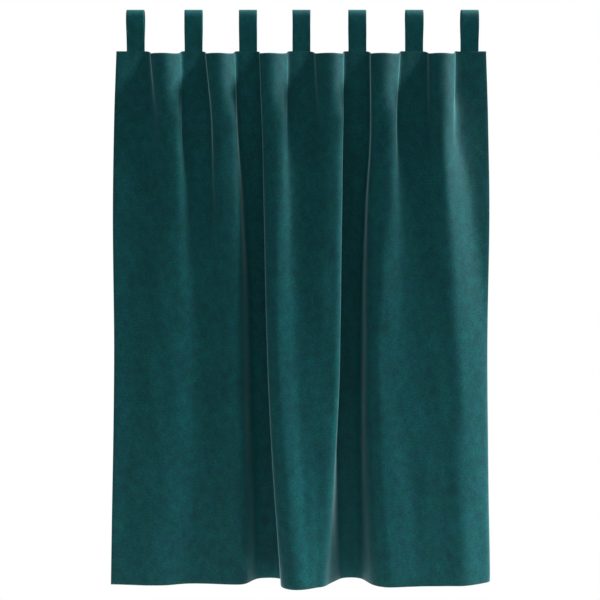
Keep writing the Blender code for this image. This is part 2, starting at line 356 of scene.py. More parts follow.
def smooth_curve(points):
    """A centripetal Catmull-Rom curve through the points, evenly sampled."""
    before = 2 * points[0] - points[1]
    after = 2 * points[-1] - points[-2]
    all_points = np.vstack([before, points, after])
    spans = np.linalg.norm(np.diff(all_points, axis=0), axis=1)
    knots = np.concatenate([[0], np.cumsum(spans**0.5)])
    samples = []
    steps = np.linspace(0, 1, STRETCH_STEPS, endpoint=False)
    for i in range(1, len(all_points) - 2):
        p0, p1, p2, p3 = all_points[i - 1 : i + 3]
        t0, t1, t2, t3 = knots[i - 1 : i + 3]
        t = (t1 + steps * (t2 - t1))[:, None]
        a1 = (t1 - t) / (t1 - t0) * p0 + (t - t0) / (t1 - t0) * p1
        a2 = (t2 - t) / (t2 - t1) * p1 + (t - t1) / (t2 - t1) * p2
        a3 = (t3 - t) / (t3 - t2) * p2 + (t - t2) / (t3 - t2) * p3
        b1 = (t2 - t) / (t2 - t0) * a1 + (t - t0) / (t2 - t0) * a2
        b2 = (t3 - t) / (t3 - t1) * a2 + (t - t1) / (t3 - t1) * a3
        samples.append((t2 - t) / (t2 - t1) * b1 + (t - t1) / (t2 - t1) * b2)
    samples.append(points[-1:])
    return evenly_spaced(np.vstack(samples), CURVE_SAMPLES)


def softened(curve):
    """The curve with each bend eased, as stiff cloth eases it. Its two ends stay where they are."""
    spacing = np.linalg.norm(np.diff(curve, axis=0), axis=1).mean()
    reach = int(SOFTENING_REACH * SOFTENING / spacing)
    offsets = np.arange(-reach, reach + 1) * spacing
    weights = np.exp(-0.5 * (offsets / SOFTENING) ** 2)
    weights /= weights.sum()
    lead = 2 * curve[0] - curve[reach:0:-1]
    tail = 2 * curve[-1] - curve[-2 : -reach - 2 : -1]
    padded = np.vstack([lead, curve, tail])
    return np.column_stack([np.convolve(padded[:, i], weights, "valid") for i in (0, 1)])


def folds_at(drop, depth):
    """The folds at this share of the drop, with their depths scaled, as (across, forward) in metres."""
    return softened(smooth_curve(plan_points(drop) * MM * (1, depth)))


def solved_depth(drop, width):
    """The factor that makes the folds just deep enough to take up the cloth's whole width."""
    shallow, deep = DEPTH_FACTORS
    for _ in range(DEPTH_SOLVE_STEPS):
        depth = (shallow + deep) / 2
        if distances(folds_at(drop, depth))[-1] < width:
            shallow = depth
        else:
            deep = depth
    return depth


# Columns crowd where the cloth bends: how strongly, and over how many samples bends are evened out.
BEND_CROWDING = 0.9
EVENING_SAMPLES = 61


class HungCloth:
    """The hanging surface that the cut cloth lies on, found by shares of its width and its drop."""

    def __init__(self, sizes):
        self.sizes = sizes
        self.heights = np.linspace(0, 1, DEPTH_SOLVE_HEIGHTS)
        self.depths = [solved_depth(drop, sizes.cloth_width) for drop in self.heights]
        heading = self.plan(0.0)
        forward = -heading[:, 1] / -heading[:, 1].min()
        sag = sizes.heading_sag * (1 - (1 - np.clip(forward, 0, 1)) ** 2)
        self.shares = np.linspace(0, 1, len(heading))
        self.top = sizes.heading_z - sag

    def plan(self, drop):
        """The cloth seen from above at this share of the drop, evenly sampled, as (x, y)."""
        held = float(np.clip(drop, 0, 1))
        depth = np.interp(held, self.heights, self.depths)
        return evenly_spaced(folds_at(held, depth), CURVE_SAMPLES) * (1, -1)

    def row(self, drop, shares):
        """Points at these shares of the width, and the level directions that point to the back."""
        plan = self.plan(drop)
        inside = np.clip(shares, 0, 1)
        along = unit(read_off(inside, self.shares, np.gradient(plan, axis=0)))
        beyond = (shares - inside) * self.sizes.cloth_width
        level = read_off(inside, self.shares, plan) + along * beyond[:, None]
        top = np.interp(inside, self.shares, self.top)
        points = np.column_stack([level, top + drop * (self.sizes.hem_z - top)])
        back = np.column_stack([-along[:, 1], along[:, 0], np.zeros(len(shares))])
        return points, back

    def column_shares(self, count):
        """Shares of the width for count + 1 columns, closer together where the folds bend."""
        turning = np.zeros(CURVE_SAMPLES + 1)
        for drop in LEVEL_DROPS:
            slope = np.gradient(self.plan(drop), axis=0)
            direction = np.unwrap(np.arctan2(slope[:, 1], slope[:, 0]))
            turning += np.abs(np.gradient(direction))
        reach = np.ones(EVENING_SAMPLES) / EVENING_SAMPLES
        turning = np.convolve(turning, reach, "same")
        density = 1 + BEND_CROWDING * turning / turning.mean()
        along = np.concatenate([[0], np.cumsum((density[1:] + density[:-1]) / 2)])
        return np.interp(np.linspace(0, along[-1], count + 1), along, self.shares)


# ---------------------------------------------------------------- the cut cloth with its hems


# One step across a hem's fold: how far in from the folded edge it lies (below 0, past it), how far
# behind the front layer, the distance along the cloth, and whether the cloth has been turned over.
HemStep = namedtuple("HemStep", "inward behind along turned")

# The gap between two layers of cloth.
LAYER_GAP = 0.0001
# Steps round a hem's folded edge, up the hem, round its inner edge and back under it.
OUTER_ROLL_STEPS = 6
HEM_STEPS = 7
INNER_ROLL_STEPS = 4
TURN_STEPS = 2
HEM_LINES = OUTER_ROLL_STEPS + HEM_STEPS + INNER_ROLL_STEPS + TURN_STEPS


def hem_steps(sizes, depth):
    """The steps from just past a folded edge, up the hem, round its inner edge and a little back."""
    roll = sizes.cloth_thickness + LAYER_GAP
    small_roll = roll / 2
    steps = []
    for i in range(1, OUTER_ROLL_STEPS + 1):
        turn = np.pi * i / OUTER_ROLL_STEPS
        inward, behind = -roll * np.sin(turn), roll * (1 - np.cos(turn))
        steps.append(HemStep(inward, behind, roll * turn, i / OUTER_ROLL_STEPS))
    along = np.pi * roll
    for i in range(1, HEM_STEPS + 1):
        inward = depth * i / HEM_STEPS
        steps.append(HemStep(inward, 2 * roll, along + inward, 1.0))
    along += depth
    for i in range(1, INNER_ROLL_STEPS + 1):
        turn = np.pi * i / INNER_ROLL_STEPS
        inward = depth + small_roll * np.sin(turn)
        behind = 2 * roll - small_roll * (1 - np.cos(turn))
        steps.append(HemStep(inward, behind, along + small_roll * turn, 1.0))
    along += np.pi * small_roll
    for i in range(1, TURN_STEPS + 1):
        back = sizes.turn_under * i / TURN_STEPS
        steps.append(HemStep(depth - back, roll, along + back, 1.0))
    return steps


# One column or row of the cut cloth: its share of the width or the drop, and a hem step's values.
CutLine = namedtuple("CutLine", "share behind along turned")


def edge_inset(sizes):
    """How far the rounded edge of a hem reaches past the line that its front layer ends on."""
    return sizes.cloth_thickness + LAYER_GAP + sizes.cloth_thickness / 2


def with_hems(shares, length, start_hem, end_hem, inset):
    """All the lines of the cut cloth in one direction: a hem, the face between the hems, a hem."""
    lines = []
    start, end = inset / length, 1 - inset / length
    for step in reversed(start_hem):
        lines.append(CutLine(start + step.inward / length, step.behind, -step.along, step.turned))
    for share in shares:
        held = start + share * (end - start)
        lines.append(CutLine(held, 0.0, share * (length - 2 * inset), 0.0))
    for step in end_hem:
        along = length - 2 * inset + step.along
        lines.append(CutLine(end - step.inward / length, step.behind, along, step.turned))
    return lines


# Where a top or bottom hem lies over a side hem, it stands further back, and the side hem's own
# layers inside it are pressed closer together.
CORNER_BULK = 0.85
CORNER_EASE = 0.020
PRESSED_LAYERS = -0.3
# Above 1, the rows are closer together towards the heading.
ROWS_CROWD_UP = 1.25


def cut_lines(sizes, cloth):
    """The columns and the rows of the whole cut cloth."""
    inset = edge_inset(sizes)
    side = hem_steps(sizes, sizes.side_hem)
    columns = with_hems(cloth.column_shares(sizes.columns), sizes.cloth_width, side, side, inset)
    drop = sizes.heading_z - sizes.hem_z
    shares = (np.arange(sizes.rows + 1) / sizes.rows) ** ROWS_CROWD_UP
    top, bottom = hem_steps(sizes, sizes.heading_hem), hem_steps(sizes, sizes.bottom_hem)
    rows = with_hems(shares, drop, top, bottom, inset)
    return columns, rows


# The soft unevenness is a sum of this many waves, with lengths between these across and down.
WAVES = 14
WAVE_SEED = 7
WAVE_ACROSS = (0.06, 0.22)
WAVE_DOWN = (0.22, 0.90)
# It fades out towards the heading, which the tabs hold level, between these shares of the drop.
WAVES_START = 0.02
WAVES_FULL = 0.16


def soft_waves(across, down):
    """Gentle unevenness over the flat cut, mostly between -1 and 1, the same on each run."""
    rng = np.random.default_rng(WAVE_SEED)
    height = np.zeros(across.shape)
    for _ in range(WAVES):
        wave_across = rng.uniform(*WAVE_ACROSS)
        wave_down = rng.uniform(*WAVE_DOWN)
        lean = rng.choice((-1, 1))
        phase = rng.uniform(0, 2 * np.pi)
        turn = 2 * np.pi * (across / wave_across + lean * down / wave_down)
        height += np.sin(turn + phase)
    return height / np.sqrt(WAVES)


def cloth_middle(sizes, cloth, columns, rows):
    """The middle surface of the whole cut cloth, hems and all, and its map in metres of flat cloth."""
    shares = np.array([line.share for line in columns])
    behind_across = np.array([line.behind for line in columns])
    across = np.array([line.along for line in columns])
    from_side = np.minimum(shares, 1 - shares) * sizes.cloth_width
    past_side_hem = smooth_step((from_side - sizes.side_hem) / CORNER_EASE)
    bulk = 1 + CORNER_BULK * (1 - past_side_hem)
    points, maps = [], []
    for line in rows:
        row_points, back = cloth.row(line.share, shares)
        side_layers = 1 + (PRESSED_LAYERS - 1) * line.turned
        behind = line.behind * bulk + side_layers * behind_across - sizes.front_set
        fade = smooth_step((line.share - WAVES_START) / (WAVES_FULL - WAVES_START))
        down = line.share * (sizes.heading_z - sizes.hem_z)
        behind = behind + sizes.unevenness * fade * soft_waves(shares * sizes.cloth_width, down)
        points.append(row_points + back * behind[:, None])
        maps.append(np.column_stack([across, np.full(len(across), -line.along)]))
    return np.array(points), np.array(maps)


def surface_normals(points):
    """Unit normals of a grid of points, facing the pile's side."""
    down = np.gradient(points, axis=0)
    across = np.gradient(points, axis=1)
    return unit(np.cross(down, across))


def new_object(name, vertices, faces, materials):
    """A smooth-shaded mesh object in the scene."""
    mesh = bpy.data.meshes.new(name)
    mesh.from_pydata(vertices.reshape(-1, 3).tolist(), [], faces)
    for material in materials:
        mesh.materials.append(material)
    mesh.shade_smooth()
    mesh.update()
    obj = bpy.data.objects.new(name, mesh)
    bpy.context.scene.collection.objects.link(obj)
    return obj


def closed_sheet(name, middle, normals, half, maps, materials):
    """A sheet of this half thickness around a grid of points: pile in front, ground at the back."""
    rows, columns = middle.shape[:2]
    front = middle + normals * half
    rear = middle - normals * half
    vertices = np.concatenate([front, rear])
    index = np.arange(rows * columns).reshape(rows, columns)
    corner = [index[:-1, :-1], index[1:, :-1], index[1:, 1:], index[:-1, 1:]]
    front_faces = np.stack(corner, axis=-1).reshape(-1, 4)
    rear_faces = front_faces[:, ::-1] + rows * columns
    rim = np.concatenate([index[:, 0], index[-1, 1:], index[-2::-1, -1], index[0, -2:0:-1]])
    following = np.roll(rim, -1)
    rim_faces = np.column_stack([following, rim, rim + rows * columns, following + rows * columns])
    faces = np.concatenate([front_faces, rear_faces, rim_faces])
    sheet = new_object(name, vertices, faces.tolist(), materials)
    kinds = np.ones(len(faces), np.int32)
    kinds[: len(front_faces)] = 0
    sheet.data.polygons.foreach_set("material_index", kinds)
    add_cloth_map(sheet.data, np.concatenate([maps.reshape(-1, 2)] * 2))
    return sheet


def add_cloth_map(mesh, maps):
    """A UV map named cloth, one unit for each UNIT_MAP_SIZE metres of the flat cut."""
    layer = mesh.uv_layers.new(name="cloth")
    corners = np.zeros(len(mesh.loops), np.int32)
    mesh.loops.foreach_get("vertex_index", corners)
    layer.data.foreach_set("uv", (maps[corners] / UNIT_MAP_SIZE).astype(np.float32).ravel())


# ---------------------------------------------------------------- tabs


# Points along a tucked-in end, a leg and the crown of a tab, and round its strip.
FOOT_STATIONS = 10
LEG_STATIONS = 30
CROWN_STATIONS = 32
WIDTH_STATIONS = 12
EDGE_STATIONS = 4
# At the heading's edge: half the tab's depth, its strip's thickness, and how far back it stands.
FOOT_HALF_DEPTH = 0.0016
FOOT_STRIP = 0.0015
FOOT_SET_BACK = 0.0004
# The strip has its full thickness from this share of a leg up.
FOOT_FULL_SHARE = 0.25
# The ends of a tab are pressed to this strip and half depth over this share of what is tucked in.
PRESSED_STRIP = 0.0005
PRESSED_HALF_DEPTH = 0.0006
PRESSED_SHARE = 0.65
# How far to each side of a tab the heading's curve is kept, and how far up the tab follows it.
HEADING_REACH = 0.003
FOLLOW_HEIGHT = 0.045


def heading_curve(sizes, number):
    """Where the heading runs behind one tab, as (x, y): its cloth bends a little there."""
    curve = folds_at(0.0, solved_depth(0.0, sizes.cloth_width)) * (1, -1)
    near = np.abs(curve[:, 0] - TAB_CENTRES[number - 1]) < sizes.tab_width / 2 + HEADING_REACH
    return curve[near]


def tab_path(sizes):
    """The middle line of a tab's strip seen from its side, as (y, z), and its thickness there.

    It runs from the end inside the heading up the front leg, over the crown and down the back leg.
    The ends are pressed thin between the heading's two layers.
    """
    crown_z = -sizes.crown_height
    outer_depth = sizes.loop_half_depth + sizes.tab_thickness
    foot_z = sizes.heading_z
    points, thick = [], []
    for i in range(FOOT_STATIONS):
        t = i / FOOT_STATIONS
        z = foot_z - sizes.tab_tuck * (1 - t)
        eased = smooth_step((t - PRESSED_SHARE) / (1 - PRESSED_SHARE))
        strip = PRESSED_STRIP + (FOOT_STRIP - PRESSED_STRIP) * eased
        outer = PRESSED_HALF_DEPTH + (FOOT_HALF_DEPTH - PRESSED_HALF_DEPTH) * eased
        points.append((outer - strip / 2, z))
        thick.append(strip)
    for i in range(LEG_STATIONS):
        t = i / LEG_STATIONS
        outer = FOOT_HALF_DEPTH + (outer_depth - FOOT_HALF_DEPTH) * smooth_step(t)
        strip = FOOT_STRIP + (sizes.tab_thickness - FOOT_STRIP) * smooth_step(t / FOOT_FULL_SHARE)
        points.append((outer - strip / 2, foot_z + t * (crown_z - foot_z)))
        thick.append(strip)
    middle_depth = outer_depth - sizes.tab_thickness / 2
    middle_height = sizes.crown_height + sizes.tab_thickness / 2
    for i in range(CROWN_STATIONS // 2 + 1):
        turn = i / (CROWN_STATIONS // 2) * np.pi / 2
        points.append((middle_depth * np.cos(turn), crown_z + middle_height * np.sin(turn)))
        thick.append(sizes.tab_thickness)
    front = np.array(points) * (-1, 1)
    rear = np.array(points[-2::-1])
    path = np.vstack([front, rear])
    path[:, 0] += FOOT_SET_BACK * smooth_step((crown_z - path[:, 1]) / (crown_z - foot_z))
    return path, np.array(thick + thick[-2::-1])


def strip_section(width, thickness):
    """The strip's cross-section: (across, out of the loop) points round two rounded edges."""
    half, radius = width / 2, thickness / 2
    flat = np.linspace(-(half - radius), half - radius, WIDTH_STATIONS + 1)
    outer = [(x, radius) for x in flat]
    right = []
    for i in range(1, EDGE_STATIONS):
        turn = np.pi / 2 - np.pi * i / EDGE_STATIONS
        right.append((half - radius + radius * np.cos(turn), radius * np.sin(turn)))
    inner = [(x, -radius) for x in flat[::-1]]
    left = [(-x, -out) for x, out in right]
    return np.array(outer + right + inner + left)


# How far a tab's edges stray from straight, how fast, and how far its crown leans to a side.
TAB_EDGE_STRAY = 0.00035
STRAY_TURNS = 55.0
TAB_LEAN = 0.0006
# Each tab's part of the cloth map lies this far from the last one's.
TAB_MAP_STEP = 0.15


def tab_vertices(sizes, number):
    """Rings of points round the strip, station by station along the loop, and their cloth map."""
    rng = np.random.default_rng(number)
    path, thick = tab_path(sizes)
    along = distances(path)
    tangent = unit(np.gradient(path, axis=0))
    outward = np.column_stack([-tangent[:, 1], tangent[:, 0]])
    phases = rng.uniform(0, 2 * np.pi, 4)
    lean = rng.uniform(-1, 1) * TAB_LEAN
    heading = heading_curve(sizes, number)
    rings, maps = [], []
    for i, (y, z) in enumerate(path):
        section = strip_section(sizes.tab_width, thick[i])
        held = smooth_step((z - sizes.heading_z) / -sizes.heading_z)
        stray = TAB_EDGE_STRAY * np.sin(along[i] * STRAY_TURNS + phases[:2])
        side = np.where(section[:, 0] > 0, stray[0], stray[1]) * held
        x = TAB_CENTRES[number - 1] + section[:, 0] + side + lean * held
        out = section[:, 1]
        bent = np.interp(x, heading[:, 0], heading[:, 1])
        bent *= 1 - smooth_step((z - sizes.heading_z) / FOLLOW_HEIGHT)
        ring = np.column_stack([x, y + bent + outward[i, 0] * out, z + outward[i, 1] * out])
        rings.append(ring)
        girth = distances(section) + number * TAB_MAP_STEP
        maps.append(np.column_stack([girth, np.full(len(x), along[i])]))
    return np.array(rings), np.array(maps)


def tab_object(sizes, number, material):
    """One tab: its strip swept along the loop, closed at both ends inside the heading."""
    rings, maps = tab_vertices(sizes, number)
    stations, around = rings.shape[:2]
    index = np.arange(stations * around).reshape(stations, around)
    following = np.roll(index, -1, axis=1)
    sides = np.stack([index[:-1], following[:-1], following[1:], index[1:]], axis=-1)
    faces = sides.reshape(-1, 4).tolist()
    faces.append(index[0][::-1].tolist())
    faces.append(index[-1].tolist())
    tab = new_object(f"velvet_tab_{number}", rings, faces, [material])
    add_cloth_map(tab.data, maps.reshape(-1, 2))
    return tab, tab_strip_length(sizes)


def tab_strip_length(sizes):
    return float(distances(tab_path(sizes)[0])[-1])


# ---------------------------------------------------------------- materials


# A noise texture's values lie mostly between these.
NOISE_LOW = 0.3
NOISE_HIGH = 0.7


class Nodes:
    """A short way to add and link the nodes of one material."""

    def __init__(self, name):
        self.material = bpy.data.materials.new(name)
        self.material.use_nodes = True
        self.tree = self.material.node_tree
        self.shader = self.tree.nodes["Principled BSDF"]

    def add(self, kind, sockets=None, **settings):
        node = self.tree.nodes.new(kind)
        for setting, value in settings.items():
            setattr(node, setting, value)
        for socket, value in (sockets or {}).items():
            self.set(node.inputs[socket], value)
        return node

    def set(self, socket, value):
        if isinstance(value, bpy.types.NodeSocket):
            self.tree.links.new(value, socket)
        else:
            socket.default_value = value

    def cloth_metres(self):
        """The cloth map in metres of flat cloth."""
        uv = self.add("ShaderNodeUVMap", uv_map="cloth")
        return self.stretched(uv.outputs[0], (UNIT_MAP_SIZE,) * 3)

    def stretched(self, vector, scale):
        """The same map, drawn out where its scale is below 1."""
        return self.add("ShaderNodeMapping", {"Vector": vector, "Scale": scale}).outputs[0]

    def noise(self, vector, size, detail=2.0, roughness=0.5):
        """Soft blotches about this many metres across, from 0 to 1."""
        sockets = {"Vector": vector, "Scale": 1 / size, "Detail": detail, "Roughness": roughness}
        return self.add("ShaderNodeTexNoise", sockets).outputs["Fac"]

    def ranged(self, value, low, high, from_low=NOISE_LOW, from_high=NOISE_HIGH):
        sockets = {
            "Value": value,
            "From Min": from_low,
            "From Max": from_high,
            "To Min": low,
            "To Max": high,
        }
        return self.add("ShaderNodeMapRange", sockets, clamp=False).outputs[0]

    def math(self, operation, a, b):
        return self.add("ShaderNodeMath", {0: a, 1: b}, operation=operation).outputs[0]

    def product(self, *values):
        return reduce(lambda a, b: self.math("MULTIPLY", a, b), values)

    def mixed(self, share, a, b):
        """A colour this share of the way from a to b."""
        sockets = {0: share, 6: a, 7: b}
        return self.add("ShaderNodeMix", sockets, data_type="RGBA").outputs[2]

    def scaled_colour(self, rgb, scale):
        sockets = {0: rgb, "Scale": scale}
        return self.add("ShaderNodeVectorMath", sockets, operation="SCALE").outputs[0]

    def bump(self, height, strength, distance):
        sockets = {"Height": height, "Strength": strength, "Distance": distance}
        return self.add("ShaderNodeBump", sockets).outputs[0]


def solid(rgb):
    return (*rgb, 1.0)


# The sizes of the pile's blotches, from broad shades to single grains, and of the patches in which
# it leans one way. Patches are drawn out down the cloth, tufts and grains across it.
BROAD_SIZE = 0.085
PATCH_SIZE = 0.022
TUFT_SIZE = 0.0048
GRAIN_SIZE = 0.0024
LEAN_SIZE = 0.045
DRAWN_DOWN = (1.0, 0.8, 1.0)
DRAWN_ACROSS = (0.45, 1.0, 1.0)
# How dark and how light each kind of blotch makes the pile.
BROAD_SHADES = (0.90, 1.10)
PATCH_SHADES = (0.82, 1.18)
TUFT_SHADES = (0.77, 1.25)
GRAIN_SHADES = (0.74, 1.28)
PILE_ROUGHNESS = (0.54, 0.70)
# The pile's relief: how strongly it shows, its height, and the grains' part in it.
PILE_RELIEF = 0.12
PILE_HEIGHT = 0.0006
GRAIN_RELIEF = 0.5
PILE_SPECULAR = 0.04
SHEEN_TINT = (0.54, 0.93, 0.98)
# The tabs' pile is painted lighter: painted light for the shade on their legs, which face a little
# down.
TAB_PAINTED_LIGHT = 1.16


def pile_material(name, finish, painted_light=1.0):
    """Velvet pile: short upright hairs that lean a little differently from patch to patch."""
    nodes = Nodes(name)
    metres = nodes.cloth_metres()
    down = nodes.stretched(metres, DRAWN_DOWN)
    across = nodes.stretched(metres, DRAWN_ACROSS)
    broad = nodes.noise(down, BROAD_SIZE, detail=2.0)
    patch = nodes.noise(down, PATCH_SIZE, detail=3.0)
    tuft = nodes.noise(across, TUFT_SIZE, detail=3.0, roughness=0.6)
    grain = nodes.noise(across, GRAIN_SIZE, detail=2.0, roughness=0.6)
    # A factor above 1 lifts the broad shades and so the whole pile's colour: painted light, used for
    # the tabs.
    shade = nodes.product(
        nodes.ranged(broad, *(painted_light * end for end in BROAD_SHADES)),
        nodes.ranged(patch, *PATCH_SHADES),
        nodes.ranged(tuft, *TUFT_SHADES),
        nodes.ranged(grain, *GRAIN_SHADES),
    )
    leaned = nodes.ranged(nodes.noise(down, LEAN_SIZE, detail=2.0), 0.0, 1.0)
    pile = nodes.mixed(leaned, solid(finish.pile), solid(finish.pile_blue))
    relief = nodes.math("ADD", nodes.product(grain, GRAIN_RELIEF), tuft)
    shader = nodes.shader.inputs
    nodes.set(shader["Base Color"], nodes.scaled_colour(pile, shade))
    nodes.set(shader["Roughness"], nodes.ranged(tuft, *PILE_ROUGHNESS))
    nodes.set(shader["Normal"], nodes.bump(relief, PILE_RELIEF, PILE_HEIGHT))
    shader["Specular IOR Level"].default_value = PILE_SPECULAR
    shader["Sheen Weight"].default_value = finish.sheen
    shader["Sheen Roughness"].default_value = finish.sheen_roughness
    shader["Sheen Tint"].default_value = solid(SHEEN_TINT)
    return nodes.material


# The distance between the yarns of the woven back, and how often a wave texture of scale 1 repeats
# in a metre.
WEAVE_PITCH = 0.0011
WAVE_UNIT = 20 / (2 * np.pi)
WEAVE_DISTORTION = 0.6
WEAVE_SHADES = (0.72, 1.22)
WEAVE_ROUGHNESS = (0.78, 0.92)
WEAVE_RELIEF = 0.5
WEAVE_HEIGHT = 0.0003
# Thicker and thinner stretches of yarn, and wider clouds over the weave.
SLUB_STRETCH = (1.0, 0.08, 1.0)
SLUB_SIZE = 0.003
SLUB_SHADES = (0.90, 1.10)
GROUND_CLOUD_SIZE = 0.05
GROUND_CLOUD_SHADES = (0.94, 1.06)
GROUND_SPECULAR = 0.3
GROUND_SHEEN = 0.03
# The values between the deepest and the highest places of the weave.
CROSSING_ENDS = (0.1, 0.9)


def yarns(nodes, metres, direction):
    """The close, slightly uneven yarns that run one way through the weave."""
    sockets = {
        "Vector": metres,
        "Scale": 1 / WEAVE_PITCH / WAVE_UNIT,
        "Distortion": WEAVE_DISTORTION,
        "Detail": 1.0,
    }
    return nodes.add("ShaderNodeTexWave", sockets, bands_direction=direction).outputs["Fac"]


def ground_material(name, finish):
    """The woven back of the velvet: flat, close plain weave with a slightly uneven yarn."""
    nodes = Nodes(name)
    metres = nodes.cloth_metres()
    warp = yarns(nodes, metres, "X")
    weft = yarns(nodes, metres, "Y")
    crossing = nodes.math("ADD", nodes.product(warp, 0.5), nodes.product(weft, 0.5))
    slub = nodes.noise(nodes.stretched(metres, SLUB_STRETCH), SLUB_SIZE, detail=2.0)
    cloud = nodes.noise(metres, GROUND_CLOUD_SIZE, detail=2.0)
    shade = nodes.product(
        nodes.ranged(crossing, *WEAVE_SHADES, *CROSSING_ENDS),
        nodes.ranged(slub, *SLUB_SHADES),
        nodes.ranged(cloud, *GROUND_CLOUD_SHADES),
    )
    shader = nodes.shader.inputs
    nodes.set(shader["Base Color"], nodes.scaled_colour(finish.ground, shade))
    nodes.set(shader["Roughness"], nodes.ranged(crossing, *WEAVE_ROUGHNESS, *CROSSING_ENDS))
    nodes.set(shader["Normal"], nodes.bump(crossing, WEAVE_RELIEF, WEAVE_HEIGHT))
    shader["Specular IOR Level"].default_value = GROUND_SPECULAR
    shader["Sheen Weight"].default_value = GROUND_SHEEN
    return nodes.material


# The twist of the thread: its size, its shades, and how it catches the light.
PLY_SIZE = 0.0006
PLY_SHADES = (0.8, 1.2)
THREAD_ROUGHNESS = (0.45, 0.65)
PLY_RELIEF = 0.4
PLY_HEIGHT = 0.0001


def thread_material(finish):
    """Twisted sewing thread."""
    nodes = Nodes("sewing_thread")
    metres = nodes.add("ShaderNodeTexCoord").outputs["Object"]
    ply = nodes.noise(metres, PLY_SIZE, detail=2.0)
    shader = nodes.shader.inputs
    shade = nodes.ranged(ply, *PLY_SHADES)
    nodes.set(shader["Base Color"], nodes.scaled_colour(finish.thread, shade))
    nodes.set(shader["Roughness"], nodes.ranged(ply, *THREAD_ROUGHNESS))
    nodes.set(shader["Normal"], nodes.bump(ply, PLY_RELIEF, PLY_HEIGHT))
    return nodes.material


# A pale floor with hardly visible clouds.
FLOOR_GREY = (0.72, 0.72, 0.72)
FLOOR_CLOUD_SIZE = 0.8
FLOOR_SHADES = (0.985, 1.0)
FLOOR_ROUGHNESS = 0.9
FLOOR_SPECULAR = 0.1


def floor_material():
    """A plain pale studio floor."""
    nodes = Nodes("pale_floor")
    metres = nodes.add("ShaderNodeTexCoord").outputs["Object"]
    cloud = nodes.noise(metres, FLOOR_CLOUD_SIZE, detail=2.0)
    shader = nodes.shader.inputs
    shade = nodes.ranged(cloud, *FLOOR_SHADES)
    nodes.set(shader["Base Color"], nodes.scaled_colour(FLOOR_GREY, shade))
    shader["Roughness"].default_value = FLOOR_ROUGHNESS
    shader["Specular IOR Level"].default_value = FLOOR_SPECULAR
    return nodes.material


# ---------------------------------------------------------------- stitching


STITCH_LENGTH = 0.0026
STITCH_RADIUS = 0.00030
STITCH_SIDES = 6
# Where a stitch is cut into shorter stretches to bend it, as shares of its length.
STITCH_CUTS = (-0.25, 0.0, 0.25)
# How deep a stitch's ends dip.
STITCH_DIP = 0.00050
# The width of a stitch's ends as a share of its middle, and how far it may turn out of its row.
STITCH_END_SHARE = 0.65
STITCH_STRAY = 0.08
# How far a row of stitches lies in from the inner edge of its hem, and how much of a stitch's
# radius is sunk in the pile.
STITCH_INSET = 0.0025
STITCH_SINK = 0.35
# A side row stops this far short of the top and bottom hems, which lie over it.
SIDE_ROW_END = 0.004


def select_none():
    bpy.ops.object.select_all(action="DESELECT")


def stitch_model():
    """One stitch along X at the origin: a short swell of thread whose two ends dip into the cloth."""
    select_none()
    bpy.ops.mesh.primitive_cylinder_add(
        vertices=STITCH_SIDES,
        radius=STITCH_RADIUS,
        depth=STITCH_LENGTH,
        location=(0, 0, 0),
        rotation=(0, np.pi / 2, 0),
        end_fill_type="NGON",
    )
    stitch = bpy.context.object
    bpy.ops.object.transform_apply(location=True, rotation=True, scale=True)
    bpy.ops.object.mode_set(mode="EDIT")
    for place in STITCH_CUTS:
        bpy.ops.mesh.select_all(action="SELECT")
        bpy.ops.mesh.bisect(plane_co=(place * STITCH_LENGTH, 0, 0), plane_no=(1, 0, 0))
    bpy.ops.object.mode_set(mode="OBJECT")
    for vertex in stitch.data.vertices:
        outer = (abs(vertex.co.x) / (STITCH_LENGTH / 2)) ** 2
        narrow = 1 - (1 - STITCH_END_SHARE) * outer
        vertex.co.y *= narrow
        vertex.co.z = vertex.co.z * narrow - STITCH_DIP * outer
    return stitch


def stitches_along(name, model, line, out, pitch, material, seed):
    """The stitch repeated along a line of points on the cloth. Out leads away from the cloth."""
    rng = np.random.default_rng(seed)
    along = distances(line)
    count = int(along[-1] / pitch)
    at = (np.arange(count) + 0.5) * along[-1] / count
    place = read_off(at, along, line)
    forward = unit(read_off(at + MM, along, line) - read_off(at - MM, along, line))
    up = read_off(at, along, out)
    up = unit(up - forward * (up * forward).sum(axis=1)[:, None])
    side = np.cross(up, forward)
    turn = rng.uniform(-STITCH_STRAY, STITCH_STRAY, count)[:, None]
    forward = forward * np.cos(turn) + side * np.sin(turn)
    side = np.cross(up, forward)
    shape = np.array([vertex.co[:] for vertex in model.data.vertices])
    stitches = (
        place[:, None, :]
        + shape[None, :, 0:1] * forward[:, None, :]
        + shape[None, :, 1:2] * side[:, None, :]
        + shape[None, :, 2:3] * up[:, None, :]
    )
    pattern = [list(polygon.vertices) for polygon in model.data.polygons]
    faces = [[v + i * len(shape) for v in face] for i in range(count) for face in pattern]
    return new_object(name, stitches, faces, [material])


def hem_row(grid, count, depth, at_start):
    """The line of a grid, hems and all, on which the hem at its start or its end is stitched."""
    inner = OUTER_ROLL_STEPS + HEM_STEPS - 1
    if at_start:
        inner = HEM_LINES - 1 - inner
        outer = inner + 1
    else:
        inner += HEM_LINES + count
        outer = inner - 1
    share = STITCH_INSET / (depth / HEM_STEPS)
    return grid[inner] * (1 - share) + grid[outer] * share


